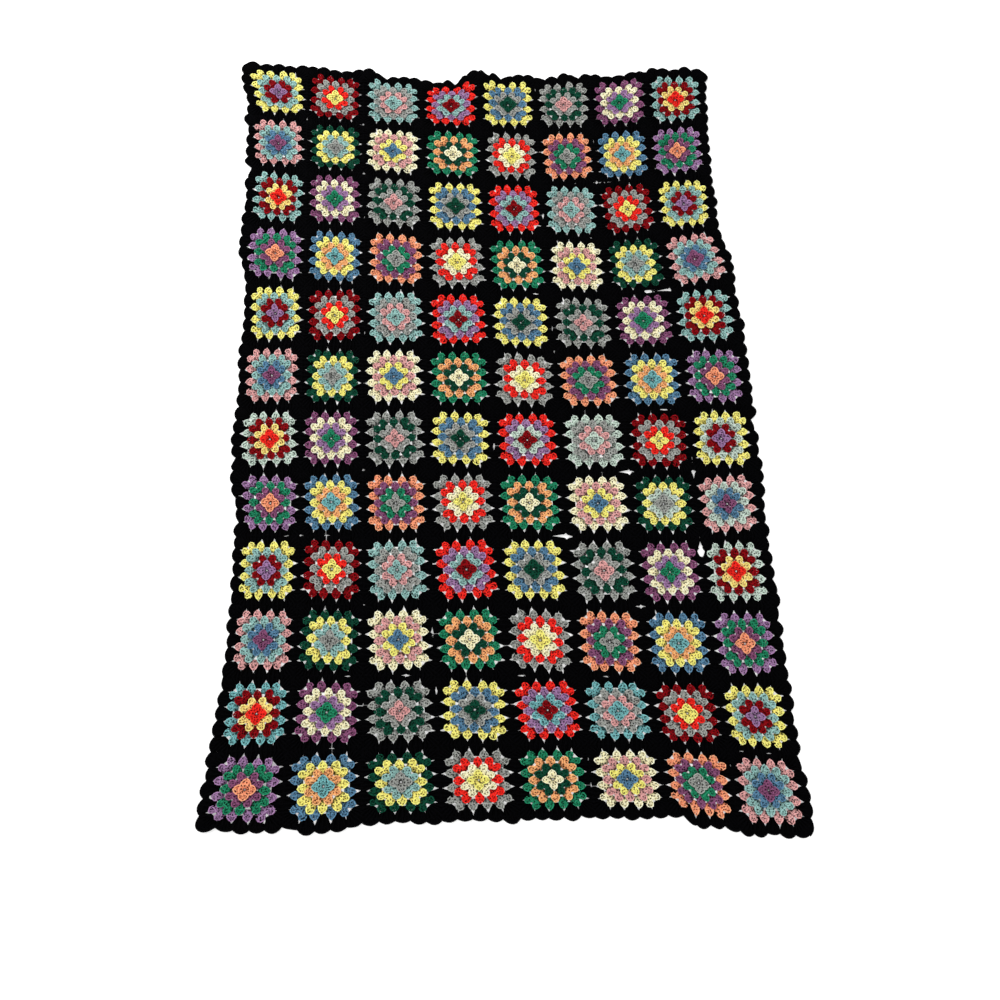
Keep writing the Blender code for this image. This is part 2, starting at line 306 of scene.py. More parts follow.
# ------------------------------------------------------------------ laying
def station_weights(stations, at):
    """How much each station counts at each place, on a smooth curve, straight on past its ends."""
    step = stations[1] - stations[0]
    slopes = np.gradient(np.eye(len(stations)), step, axis=0)
    inner = np.clip(at, stations[0], stations[-1])
    i = np.clip(((inner - stations[0]) // step).astype(int), 0, len(stations) - 2)
    u = ((inner - stations[0]) / step - i)[:, None]
    rise = u * u * (3 - 2 * u)
    unit = np.eye(len(stations))
    weights = unit[i] * (1 - rise) + unit[i + 1] * rise
    weights += slopes[i] * u * (1 - u) ** 2 * step + slopes[i + 1] * u * u * (u - 1) * step
    end_slopes = np.where((at < inner)[:, None], slopes[0], slopes[-1])
    return weights + end_slopes * (at - inner)[:, None]


def drift(table, across, along):
    """How far a table's drift moves each place, in mm."""
    rows = sorted(table, key=lambda row: row["at"])
    values = np.array([[row[name] for name in ACROSS_PLACES] for row in rows], float)
    by_column = station_weights(list(ACROSS_PLACES.values()), across)
    by_row = station_weights([row["at"] for row in rows], along)
    return np.einsum("nr,rc,nc->n", by_row, values, by_column)


def lift(across, along):
    """How far the low waves lift each place, in mm."""
    height = np.zeros(len(across))
    for wave in WAVES:
        turn = math.radians(wave["heading"])
        away_x = (across - wave["across"]) * SQUARE_ACROSS / MM
        away_y = (along - wave["along"]) * SQUARE_ALONG / MM
        down_crest = away_x * math.cos(turn) + away_y * math.sin(turn)
        over_crest = away_y * math.cos(turn) - away_x * math.sin(turn)
        reach = (down_crest / wave["length"]) ** 2 + (over_crest / wave["width"]) ** 2
        height += wave["height"] * np.clip(1 - reach, 0, 1) ** 2
    return height


def bulge(table, fade_over, across, along):
    """How far a table's bulges move each place, sideways and lengthways, in mm."""
    sideways = np.zeros(len(across))
    lengthways = np.zeros(len(across))
    sides = {"left": (-1, 0), "right": (1, 0), "near": (0, -1), "far": (0, 1)}
    for row in table:
        out_x, out_y = sides[row["side"]]
        inset = SQUARES_ACROSS / 2 - across * out_x if out_x else SQUARES_ALONG / 2 - along * out_y
        fade = np.clip(1 - inset / fade_over, 0, 1) ** 2
        off = ((along if out_x else across) - row["at"]) / row["half"]
        reach = row["out"] * np.clip(1 - off * off, 0, 1) ** 2 * fade
        sideways += out_x * reach
        lengthways += out_y * reach
    return sideways, lengthways


def all_gaps(dice):
    """The gaps in the joins: the large ones, and the small ones at random places."""
    gaps = [{**gap, "pull": LARGE_PULL} for gap in GAPS]
    for _ in range(SMALL_GAPS):
        runs = dice.choice(["across", "along"])
        across = dice.uniform(-SQUARES_ACROSS / 2, SQUARES_ACROSS / 2)
        along = dice.uniform(-SQUARES_ALONG / 2, SQUARES_ALONG / 2)
        if runs == "across":
            along = round(along * INNER_ALONG)
        else:
            across = round(across * INNER_ACROSS)
        gaps.append({"across": across, "along": along, "runs": runs, "half": SMALL_GAP_HALF,
                     "pull": SMALL_PULL})
    return gaps


def beside_gap(gap, x, y):
    """How far along a gap and across from it a place is, as part of its half length and in metres."""
    off_x = x - gap["across"] * SQUARE_ACROSS
    off_y = y - gap["along"] * SQUARE_ALONG
    if gap["runs"] == "across":
        return off_x / (gap["half"] * SQUARE_ACROSS), off_y
    return off_y / (gap["half"] * SQUARE_ALONG), off_x


def draw_apart(points, homes, gaps):
    """Draws the stitches beside each gap back towards the middles of their own squares."""
    for gap in gaps:
        run, away = beside_gap(gap, points[:, 0], points[:, 1])
        _, home_side = beside_gap(gap, homes[:, 0], homes[:, 1])
        along_gap = np.clip(GAP_TAPER - run * run, 0, 1)
        into_square = np.clip(1 - np.abs(away) / GAP_DEPTH, 0, 1)
        pull = gap["pull"] * along_gap * into_square
        points[:, 1 if gap["runs"] == "across" else 0] += pull * np.sign(home_side)


def lie(points):
    """Where points of the flat blanket come to lie: as in the CAD, but for the puckers."""
    across = points[:, 0] / SQUARE_ACROSS
    along = points[:, 1] / SQUARE_ALONG
    sideways = drift(SIDEWAYS_DRIFT, across, along)
    lengthways = drift(LENGTHWAYS_DRIFT, across, along)
    for table, fade_over in ((BULGES, BULGE_FADE), (PUCKERS, PUCKER_FADE)):
        out_sideways, out_lengthways = bulge(table, fade_over, across, along)
        sideways += out_sideways
        lengthways += out_lengthways
    return np.column_stack([
        points[:, 0] + sideways * MM - MIDDLE_ACROSS,
        points[:, 1] + lengthways * MM - MIDDLE_ALONG,
        points[:, 2] + lift(across, along) * MM,
    ])


# ------------------------------------------------------------------- nodes
def add(tree, kind, inputs=None, **settings):
    """Adds a node with its settings, and links or sets the inputs given by name or number."""
    node = tree.nodes.new(kind)
    for name, value in settings.items():
        setattr(node, name, value)
    for key, value in (inputs or {}).items():
        if isinstance(value, bpy.types.Node):
            value = next(output for output in value.outputs if output.enabled)
        if isinstance(value, bpy.types.NodeSocket):
            tree.links.new(value, node.inputs[key])
        else:
            node.inputs[key].default_value = value
    return node


def new_tree(name, sockets):
    """A Geometry Nodes tree with the geometry in and out and the named inputs."""
    tree = bpy.data.node_groups.new(name, "GeometryNodeTree")
    tree.interface.new_socket("Geometry", in_out="OUTPUT", socket_type="NodeSocketGeometry")
    tree.interface.new_socket("Geometry", in_out="INPUT", socket_type="NodeSocketGeometry")
    for label, kind in sockets.items():
        tree.interface.new_socket(label, in_out="INPUT", socket_type="NodeSocket" + kind)
    return tree


def spin_stitch(tree, given):
    """Strands of yarn along a stitch's lines, with the dark sheet of painted shade behind them."""
    lines = add(tree, "GeometryNodeObjectInfo", {"Object": given["Stitch"]})
    curves = add(tree, "GeometryNodeMeshToCurve", {"Mesh": lines.outputs["Geometry"]})
    plump = add(tree, "GeometryNodeInputNamedAttribute", {"Name": "plump"}, data_type="FLOAT")
    curves = add(tree, "GeometryNodeSetCurveRadius", {"Curve": curves, "Radius": plump})
    run = add(tree, "GeometryNodeSplineParameter").outputs["Length"]
    curves = add(tree, "GeometryNodeStoreNamedAttribute",
                 {"Geometry": curves, "Name": "yarn_run", "Value": run},
                 data_type="FLOAT", domain="POINT")
    section = add(tree, "GeometryNodeCurvePrimitiveCircle",
                  {"Resolution": given["Yarn Sides"], "Radius": given["Yarn Radius"]}, mode="RADIUS")
    section = add(tree, "GeometryNodeStoreNamedAttribute",
                  {"Geometry": section, "Name": "yarn_round",
                   "Value": add(tree, "GeometryNodeInputPosition")},
                  data_type="FLOAT_VECTOR", domain="POINT")
    yarn = add(tree, "GeometryNodeCurveToMesh",
               {"Curve": curves, "Profile Curve": section, "Fill Caps": True})
    shade_sheet = add(tree, "GeometryNodeObjectInfo", {"Object": given["Shade Sheet"]})
    whole = add(tree, "GeometryNodeJoinGeometry")
    tree.links.new(shade_sheet.outputs["Geometry"], whole.inputs[0])
    tree.links.new(yarn.outputs[0], whole.inputs[0])
    return whole


def work_at_places(tree, given, stitch):
    """The stitch at every place, with that place's heading and size and its own dye."""
    heading = add(tree, "GeometryNodeInputNamedAttribute", {"Name": "heading"}, data_type="FLOAT")
    turned = add(tree, "ShaderNodeCombineXYZ", {"Z": heading})
    size = add(tree, "GeometryNodeInputNamedAttribute", {"Name": "size"}, data_type="FLOAT_VECTOR")
    worked = add(tree, "GeometryNodeInstanceOnPoints",
                 {"Points": given["Geometry"], "Instance": stitch,
                  "Rotation": turned, "Scale": size})
    dye = add(tree, "FunctionNodeRandomValue", {"Seed": given["Seed"]}, data_type="FLOAT")
    worked = add(tree, "GeometryNodeStoreNamedAttribute",
                 {"Geometry": worked, "Name": "dye", "Value": dye.outputs[1]},
                 data_type="FLOAT", domain="INSTANCE")
    return add(tree, "GeometryNodeRealizeInstances", {"Geometry": worked})


def lay_unevenly(tree, given, crochet):
    """The crochet with its strands wandering off their lines, as hand work does."""
    scale = add(tree, "ShaderNodeMath", {0: 1.0, 1: given["Wander Size"]}, operation="DIVIDE")
    noise = add(tree, "ShaderNodeTexNoise",
                {"Vector": add(tree, "GeometryNodeInputPosition"), "Scale": scale,
                 "W": given["Seed"], "Detail": 1.0}, noise_dimensions="4D")
    centred = add(tree, "ShaderNodeVectorMath", {0: noise.outputs["Color"], 1: (0.5, 0.5, 0.5)},
                  operation="SUBTRACT")
    reach = add(tree, "ShaderNodeMath", {0: given["Wander"], 1: 1 / NOISE_REACH},
                operation="MULTIPLY")
    offset = add(tree, "ShaderNodeVectorMath", {0: centred, "Scale": reach}, operation="SCALE")
    return add(tree, "GeometryNodeSetPosition", {"Geometry": crochet, "Offset": offset})


def stitches_tree():
    """Works one stitch at every place: strands of yarn along the stitch's lines, laid unevenly."""
    tree = new_tree("stitches", {
        "Stitch": "Object", "Shade Sheet": "Object", "Yarn Radius": "Float", "Yarn Sides": "Int",
        "Wander": "Float", "Wander Size": "Float", "Seed": "Int", "Yarn": "Material",
    })
    given = add(tree, "NodeGroupInput").outputs
    crochet = work_at_places(tree, given, spin_stitch(tree, given))
    crochet = lay_unevenly(tree, given, crochet)
    smooth = add(tree, "GeometryNodeSetShadeSmooth", {"Geometry": crochet, "Shade Smooth": True})
    dyed = add(tree, "GeometryNodeSetMaterial", {"Geometry": smooth, "Material": given["Yarn"]})
    add(tree, "NodeGroupOutput", {"Geometry": dyed})
    return tree


# ----------------------------------------------------------------- stitches
def stitch_lines(name, strands):
    """A stitch's strands as lines, with how plump and how far out of the painted shade each point is.
    """
    points, edges, plump, painted_light = [], [], [], []
    for strand in strands:
        first = len(points)
        count = len(strand["points"])
        points += [tuple(c * MM for c in point) for point in strand["points"]]
        plump += strand["plump"]
        painted_light += strand.get("painted_light", [PLAIN_PAINTED_LIGHT] * count)
        edges += [(first + i, first + i + 1) for i in range(count - 1)]
        if strand.get("loop"):
            edges.append((first + count - 1, first))
    mesh = bpy.data.meshes.new(name)
    mesh.from_pydata(points, edges, [])
    mesh.attributes.new("plump", "FLOAT", "POINT").data.foreach_set("value", plump)
    mesh.attributes.new("painted_light", "FLOAT", "POINT").data.foreach_set("value", painted_light)
    return bpy.data.objects.new(name, mesh)


def stitch_shade_sheet(name, outline):
    """A thin closed plate behind a stitch's strands: a dark sheet of painted shade that fills the
    gaps, painted darkest at its foot.
    """
    count = len(outline)
    tops = [(x, y, HEAD_RISE * y / GROUP_TALL - FOOT_DROP + SHADE_SHEET_RISE) for x, y in outline]
    points = [(x * MM, y * MM, (z - SHADE_SHEET_DEPTH) * MM) for x, y, z in tops]
    points += [(x * MM, y * MM, z * MM) for x, y, z in tops]
    faces = [tuple(reversed(range(count))), tuple(range(count, 2 * count))]
    faces += [(i, (i + 1) % count, count + (i + 1) % count, count + i) for i in range(count)]
    mesh = bpy.data.meshes.new(name)
    mesh.from_pydata(points, [], faces)
    painted_light = [SHADE_SHEET_PAINTED_LIGHT if y > SHADE_SHEET_DARKEST_BELOW else 0.0 for _, y in outline] * 2
    mesh.attributes.new("painted_light", "FLOAT", "POINT").data.foreach_set("value", painted_light)
    return bpy.data.objects.new(name, mesh)


# A treble's loop, once round from its foot: how far each point is along the treble, and aside and
# up in wraps, how plump the yarn is there, and how far out of the painted shade, darkest at its foot.
TREBLE_LOOP = [
    {"along": 0.0, "aside": 0.0, "up": 0.0, "plump": 0.8, "painted_light": 0.0},
    {"along": 0.34, "aside": 1.0, "up": 0.55, "plump": 1.0, "painted_light": 0.38},
    {"along": 0.76, "aside": -1.0, "up": 0.55, "plump": 1.05, "painted_light": 0.62},
    {"along": 1.0, "aside": 0.0, "up": 0.0, "plump": 0.85, "painted_light": 0.7},
    {"along": 0.76, "aside": 1.0, "up": -0.55, "plump": 1.0, "painted_light": 0.55},
    {"along": 0.34, "aside": -1.0, "up": -0.55, "plump": 0.95, "painted_light": 0.3},
]


def treble(foot, head):
    """One treble as a loop of yarn, crossed on itself half way from its foot to its head."""
    rise_x = head[0] - foot[0]
    rise_y = head[1] - foot[1]
    height = math.hypot(rise_x, rise_y)
    points = []
    for at in TREBLE_LOOP:
        aside = TREBLE_WRAP * at["aside"] / height
        points.append((foot[0] + rise_x * at["along"] + rise_y * aside,
                       foot[1] + rise_y * at["along"] - rise_x * aside,
                       TREBLE_WRAP * at["up"] + HEAD_RISE * at["along"] - FOOT_DROP))
    return {"points": points, "loop": True, "plump": [at["plump"] for at in TREBLE_LOOP],
            "painted_light": [at["painted_light"] for at in TREBLE_LOOP]}


def top_chain(points):
    """The chain of stitch tops round a group's outer edge, given a painted highlight, with its ends
    sunk.
    """
    plump = [0.6] + [0.92] * (len(points) - 2) + [0.6]
    head = HEAD_RISE - FOOT_DROP
    return {"points": [(x, y, head + CHAIN_RISE * (p - CHAIN_LEVEL)) for (x, y), p in
                       zip(points, plump)],
            "plump": plump, "painted_light": [0.2 + 0.65 * p for p in plump]}


def cross_wrap(points):
    """The turns of yarn that lie across a group's trebles half way up, half out of the painted shade.
    """
    return {"points": [(x, y, WRAP_RISE) for x, y in points],
            "plump": [0.6] + [0.75] * (len(points) - 2) + [0.6], "painted_light": [0.5] * len(points)}


def side_group_strands():
    """Three trebles out of one space along a side."""
    strands = [treble((side * 3.4, 1.4), (side * 5.4, 19.5 - 3.0 * abs(side)))
               for side in (-1, 0, 1)]
    strands.append(top_chain([(-7.6, 7.6), (-7.7, 12.6), (-4.9, 17.4), (0.0, 21.2), (4.9, 17.4),
                              (7.7, 12.6), (7.6, 7.6)]))
    strands.append(cross_wrap([(-6.6, 9.2), (-2.2, 11.0), (2.2, 9.0), (6.6, 10.8)]))
    return strands


SIDE_GROUP_SHADE_SHEET = [(-10.5, -2.0), (10.5, -2.0), (10.5, 5), (7.2, 9), (5.4, 17), (-5.4, 17),
                  (-7.2, 9), (-10.5, 5)]


def middle_group_strands():
    """A quarter of the first round: three trebles out of the ring, which fill a kite."""
    strands = [treble((side * 1.6, 2.4), (side * 6.6, 18.5 - 4.0 * abs(side)))
               for side in (-1, 0, 1)]
    strands.append(top_chain([(-8.2, 7.6), (-8.0, 13.4), (-4.6, 17.8), (0.0, 20.6), (4.6, 17.8),
                              (8.0, 13.4), (8.2, 7.6)]))
    strands.append(cross_wrap([(-5.6, 7.6), (0.0, 10.4), (5.6, 7.6)]))
    return strands


MIDDLE_GROUP_SHADE_SHEET = [(-2.0, 2.0), (2.0, 2.0), (9.4, 9.4), (6.0, 17), (-6.0, 17), (-9.4, 9.4)]


def corner_pair_strands():
    """Six trebles out of a corner space: two groups side by side, with a tip at each end."""
    strands = [treble((side * foot, 0.5), (side * head, top)) for side in (-1, 1)
               for foot, head, top in ((1.8, 5.0, 15.6), (4.4, 10.2, 17.8), (6.6, 13.8, 14.5))]
    for side in (-1, 1):
        strands.append(top_chain([(side * x, y) for x, y in (
            (2.0, 11.0), (4.4, 16.8), (8.8, 20.0), (13.2, 19.0), (16.2, 14.0), (15.4, 8.2))]))
    strands.append(cross_wrap([(-14.0, 9.0), (-9.4, 11.4), (-4.6, 8.6), (4.6, 9.8),
                               (9.4, 8.6), (14.0, 10.6)]))
    return strands


CORNER_PAIR_SHADE_SHEET = [(-13, -3.0), (13, -3.0), (16.0, 5.0), (16.0, 11), (14.0, 17.0), (8.5, 19),
                   (0.0, 12.0), (-8.5, 19), (-14.0, 17.0), (-16.0, 11), (-16.0, 5.0)]


def black_treble(foot, middle, head):
    """A whole treble of the last round, drawn as one thick strand, with painted shade at its foot and
    painted light at its head.
    """
    return {"points": [(*foot, -0.8), (*middle, 0.3), (*head, 0.4)], "plump": [0.75, 1.0, 0.9],
            "painted_light": [0.2, 0.6, 0.8]}


def black_group_strands():
    """A black treble group, which spreads until it meets its neighbours at the join."""
    return [black_treble((side * 3.8, -3.0), (side * 8.0, 9.5), (side * 10.2, 20.8))
            for side in (-1, 0, 1)]


BLACK_GROUP_SHADE_SHEET = [(-7.5, -4.5), (7.5, -4.5), (11.6, 8.5), (14, 13.5), (14, 22), (-14, 22),
                   (-14, 13.5), (-11.6, 8.5)]


def black_corner_strands():
    """The two black groups that turn a corner, drawn out to fill it."""
    return [black_treble((side * foot, 0.0), (side * middle, 11.0), (side * head, top))
            for side in (-1, 1)
            for foot, middle, head, top in ((1.6, 3.0, 4.0, 31.0), (4.4, 8.6, 11.5, 24.0),
                                            (6.5, 14.0, 19.5, 17.0))]


BLACK_CORNER_SHADE_SHEET = [(-7.5, -0.5), (7.5, -0.5), (16, 6.0), (25.0, 10.0), (23.5, 13.0), (5.0, 31.5),
                    (-5.0, 31.5), (-23.5, 13.0), (-25.0, 10.0), (-16, 6.0)]


def shell_strands():
    """One scallop of the edging: trebles that fan from one space, and the chain over them; painted
    shade at the feet, painted light on the chain.
    """
    strands = []
    for lean in np.linspace(-1, 1, SHELL_TREBLES).tolist():
        top = SHELL_VALLEY + SHELL_RISE * (1 - 0.7 * lean * lean) - 1.5
        strands.append({"points": [(4.5 * lean, -3.0, -0.6), (8.5 * lean, top / 2, 0.4),
                                   (11.5 * lean, top, 0.2)],
                        "plump": [0.7, 1.0, 0.9], "painted_light": [0.2, 0.6, 0.8]})
    rim = [(SHELL_HALF * lean, SHELL_VALLEY + SHELL_RISE * (1 - lean * lean) - 0.6, 0.5)
           for lean in np.linspace(-1, 1, len(SHELL_RIM_PLUMP)).tolist()]
    strands.append({"points": rim, "plump": SHELL_RIM_PLUMP, "painted_light": [0.8] * len(rim)})
    return strands


SHELL_SHADE_SHEET = [(-15.0, -4.0), (15.0, -4.0), (15.0, 3.6), (10.0, 7.6), (0, 10.2), (-10.0, 7.6),
             (-15.0, 3.6)]


def join_strands():
    """One whip stitch over a join, leaning along it."""
    return [{"points": [(-2.2, -3.6, -0.4), (0.0, 0.0, 1.6), (2.2, 3.6, -0.4)],
             "plump": [0.8, 1.0, 0.8]}]


# ------------------------------------------------------------------ places
def round_places(number):
    """One round's groups on all four sides of a square: foot, heading and which stitch."""
    if number == 1:
        return [(0.0, 0.0, side * math.pi / 2, "middle_group") for side in range(4)]
    along_side, at_corner = "side_group", "corner_pair"
    if number == ROUNDS:
        along_side, at_corner = "black_group", "black_corner"
    places = []
    between = (ROUND_TOPS[number - 2] * MM + (number - 2) * GROUP_SPACING / 2) / 2
    foot = math.sqrt(2) * (between - CORNER_SINK)
    for side in range(4):
        turn = side * math.pi / 2
        diagonal = turn + math.pi / 4
        places.append((-foot * math.sin(diagonal), foot * math.cos(diagonal), diagonal, at_corner))
        for k in range(1, number - 1):
            x = (k - (number - 1) / 2) * GROUP_SPACING
            y = (ROUND_TOPS[number - 1] - GROUP_TALL) * MM
            places.append((x * math.cos(turn) - y * math.sin(turn),
                           x * math.sin(turn) + y * math.cos(turn), turn, along_side))
    return places


def yarn_for(kind, number, square):
    """The yarn of one round of a square of this kind, with its aqua drawn paler as painted light in
    some squares and deeper in others.
    """
    if number == ROUNDS:
        return "black"
    yarn = KINDS[kind][number - 1]
    if yarn == "aqua" and square in AQUA_PAINTED_LIGHT_SQUARES:
        return "sage"
    if yarn == "aqua" and square in TURQUOISE_SQUARES:
        return "turquoise"
    return yarn


def square_places(dice):
    """All the treble groups of the blanket: where each starts, its heading, size, yarn and stitch."""
    rounds = [round_places(number) for number in range(1, ROUNDS + 1)]
    half = ROUND_TOPS[-1] * MM
    found = []
    for row, kinds in enumerate(ROWS):
        for column, kind in enumerate(kinds):
            middle_x = (column - (SQUARES_ACROSS - 1) / 2) * SQUARE_ACROSS
            middle_y = ((SQUARES_ALONG - 1) / 2 - row) * SQUARE_ALONG
            turn = math.radians(dice.uniform(-CENTRE_TURN, CENTRE_TURN))
            shift = dice.uniform(-CENTRE_SHIFT, CENTRE_SHIFT, 2)
            middle_width = dice.uniform(*CENTRE_WIDTH)
            for number, places in enumerate(rounds, start=1):
                yarn = yarn_for(kind, number, (row, column))
                width = middle_width if number == 1 else 1.0
                for x, y, heading, stitch in places:
                    give = max(0.0, 1 - (x * x + y * y) / (half * half))
                    swirl = turn * give
                    turned_x = x * math.cos(swirl) - y * math.sin(swirl) + shift[0] * give
                    turned_y = x * math.sin(swirl) + y * math.cos(swirl) + shift[1] * give
                    turned_y *= SQUARE_ALONG / SQUARE_ACROSS
                    stray = dice.normal(0, 1, 5) * LOOSENESS[number - 1]
                    found.append({
                        "x": middle_x + turned_x + GROUP_STRAY * stray[0],
                        "y": middle_y + turned_y + GROUP_STRAY * stray[1],
                        "heading": heading + swirl + math.radians(GROUP_TURN) * stray[2],
                        "size": (width + GROUP_STRETCH * stray[3], 1 + GROUP_STRETCH * stray[4], 1.0),
                        "yarn": yarn, "stitch": stitch, "home": (middle_x, middle_y, 0.0),
                    })
    return found


def came_undone(place, gaps):
    """Whether a join stitch lies on a gap."""
    for gap in gaps:
        run, away = beside_gap(gap, place["x"], place["y"])
        if abs(run) <= 1 and abs(away) <= JOIN_REACH:
            return True
    return False


def join_places(gaps):
    """The whip stitches of every join, down the blanket and across it, but for its gaps."""
    found = []
    for column in range(1, SQUARES_ACROSS):
        for k in range(JOIN_STITCHES * SQUARES_ALONG):
            y = -HALF_ALONG + (k + 0.5) * SQUARE_ALONG / JOIN_STITCHES
            found.append({"x": column * SQUARE_ACROSS - HALF_ACROSS, "y": y, "heading": 0.0})
    for row in range(1, SQUARES_ALONG):
        for k in range(JOIN_STITCHES * SQUARES_ACROSS):
            x = -HALF_ACROSS + (k + 0.5) * SQUARE_ACROSS / JOIN_STITCHES
            found.append({"x": x, "y": row * SQUARE_ALONG - HALF_ALONG, "heading": math.pi / 2})
    return [{**place, "size": (1.0, 1.0, 1.0)} for place in found if not came_undone(place, gaps)]


def shell_places(dice):
    """The edging's shells, five to a square, and a fuller one that turns each corner."""
    found = []
    halves = [(HALF_ACROSS, HALF_ALONG, SQUARES_ACROSS), (HALF_ALONG, HALF_ACROSS, SQUARES_ALONG)]
    for side, (half_run, half_out, squares) in enumerate(halves * 2):
        turn = side * math.pi / 2
        shells = squares * SHELLS_PER_SQUARE
        spots = [(half_run * (1 - (2 * k + 1) / shells), half_out, 0.0, 1.0) for k in range(shells)]
        spots.append((half_run - CORNER_SHELL_INSET, half_out - CORNER_SHELL_INSET, -math.pi / 4,
                      CORNER_SHELL_TALL))
        for run, out, lean, tall in spots:
            stray = dice.normal(0, 1, 4)
            found.append({
                "x": run * math.cos(turn) - out * math.sin(turn) + SHELL_STRAY * stray[0],
                "y": run * math.sin(turn) + out * math.cos(turn) + SHELL_STRAY * stray[1],
                "heading": turn + lean + math.radians(SHELL_TURN) * stray[2],
                "size": (1.0, tall * (1 + SHELL_STRETCH * stray[3]), 1.0),
            })
    return found


# --------------------------------------------------------------- materials
def linear(code):
    """A sRGB hex colour as linear values."""
    values = [int(code[k:k + 2], 16) / 255 for k in (1, 3, 5)]
    return [v / 12.92 if v <= 0.04045 else ((v + 0.055) / 1.055) ** 2.4 for v in values]


PLIES = 4
PLY_TURN = 9.0 * MM             # length of yarn in which a ply goes once round
FIBRE = 0.9 * MM                # tufts of fibre, drawn coarser than they are so that they show
PIT = 5.6 * MM                  # from one small gap between turns of yarn, painted dark as painted shade, to the next
PIT_CORE = 0.12                 # how far a pit's middle, painted darkest, reaches, in parts of that
PIT_EDGE = 0.38                 # and how far all of it
RELIEF = 0.4 * MM               # depth of the grooves, tufts and pits
SHADE_START = -1.14             # how deep in the shade yarn would be if nothing brought it out
DEEP_SHADE = 0.08               # painted shade: how bright the dye is drawn in the depths of the yarn
PAINTED_HIGHLIGHT = 1.45                 # and as a painted highlight on the outermost fibres, to its plain brightness
GLOSS = 0.1                     # the faint sheen of the fibre
BLACK_GLOSS = 0.03              # which black yarn hardly shows


def acrylic_yarn(name, code, gloss=GLOSS):
    """Worsted acrylic yarn, spun and dyed: matt and fibrous, with painted shade in its grooves, pits
    and depths and a painted highlight on its outermost fibres.
    """
    material = bpy.data.materials.new(name)
    material.use_nodes = True
    tree = material.node_tree
    shader = tree.nodes["Principled BSDF"]
    colour = linear(code)

    # The grooves between the plies, which wind round the yarn as it runs: bumps, and painted shade in
    # them.
    around = add(tree, "ShaderNodeAttribute", attribute_name="yarn_round")
    parts = add(tree, "ShaderNodeSeparateXYZ", {0: around.outputs["Vector"]})
    angle = add(tree, "ShaderNodeMath", {0: parts.outputs["Y"], 1: parts.outputs["X"]},
                operation="ARCTAN2")
    run = add(tree, "ShaderNodeAttribute", attribute_name="yarn_run")
    twist = add(tree, "ShaderNodeMath",
                {0: run.outputs["Fac"], 1: 2 * math.pi * PLIES / PLY_TURN}, operation="MULTIPLY")
    phase = add(tree, "ShaderNodeMath", {0: angle, 1: float(PLIES), 2: twist},
                operation="MULTIPLY_ADD")
    ply = add(tree, "ShaderNodeMath", {0: phase}, operation="SINE")
    groove_shade_and_bump = add(tree, "ShaderNodeMapRange",
                 {"Value": ply, "From Min": -1.0, "From Max": 0.4, "To Min": 0.0, "To Max": 1.0})

    # Tufts of fibre, and the small gaps between the turns of a stitch, as bumps and as painted shade.
    place = add(tree, "ShaderNodeTexCoord").outputs["Object"]
    fibre = add(tree, "ShaderNodeTexNoise", {"Vector": place, "Scale": 1 / FIBRE, "Detail": 2.0})
    fibre = fibre.outputs["Fac"]
    cells = add(tree, "ShaderNodeTexVoronoi",
                {"Vector": place, "Scale": 1 / PIT, "Randomness": 0.8}, voronoi_dimensions="2D")
    pit_shade_and_bump = add(tree, "ShaderNodeMapRange",
              {"Value": cells.outputs["Distance"], "From Min": PIT_CORE, "From Max": PIT_EDGE,
               "To Min": 0.0, "To Max": 1.0})

    # How far out of the painted shade each place is: what each cause adds to it. The grooves, pits,
    # the strands' painted light and the flat-lying faces are painted light and shade; the tufts and
    # the dye are the yarn's own tone.
    dye = add(tree, "ShaderNodeAttribute", attribute_name="dye").outputs["Fac"]
    painted_light = add(tree, "ShaderNodeAttribute", attribute_name="painted_light").outputs["Fac"]
    # Faces that lie flat, up or down, are painted lighter: painted light as if from above.
    surface = add(tree, "ShaderNodeNewGeometry")
    facing = add(tree, "ShaderNodeSeparateXYZ", {0: surface.outputs["Normal"]})
    painted_light_lying_flat = add(tree, "ShaderNodeMath", {0: facing.outputs["Z"]}, operation="ABSOLUTE")
    tone = SHADE_START
    for cause, share in ((fibre, 0.3), (groove_shade_and_bump, 0.12), (dye, 0.1), (painted_light, 0.9), (pit_shade_and_bump, 0.75),
                         (painted_light_lying_flat, 0.55)):
        tone = add(tree, "ShaderNodeMath", {0: cause, 1: share, 2: tone}, operation="MULTIPLY_ADD")
    shade = add(tree, "ShaderNodeValToRGB", {"Fac": tone})
    stops = shade.color_ramp.elements
    stops.new(0.95)
    for stop, at, strength in zip(stops, (0.08, 0.5, 0.95), (DEEP_SHADE, 1.0, PAINTED_HIGHLIGHT)):
        stop.position = at
        stop.color = [min(1.0, strength * c) for c in colour] + [1]
    tree.links.new(shade.outputs["Color"], shader.inputs["Base Color"])

    height = add(tree, "ShaderNodeMath", {0: fibre, 1: 0.6, 2: groove_shade_and_bump}, operation="MULTIPLY_ADD")
    height = add(tree, "ShaderNodeMath", {0: pit_shade_and_bump, 1: 2.0, 2: height}, operation="MULTIPLY_ADD")
    bump = add(tree, "ShaderNodeBump", {"Height": height, "Strength": 0.5, "Distance": RELIEF})
    tree.links.new(bump.outputs["Normal"], shader.inputs["Normal"])

    shader.inputs["Roughness"].default_value = 0.9
    shader.inputs["IOR"].default_value = 1.49
    shader.inputs["Specular IOR Level"].default_value = gloss
    shader.inputs["Sheen Weight"].default_value = gloss
    shader.inputs["Sheen Roughness"].default_value = 0.5
    shader.inputs["Sheen Tint"].default_value = colour + [1]
    return material


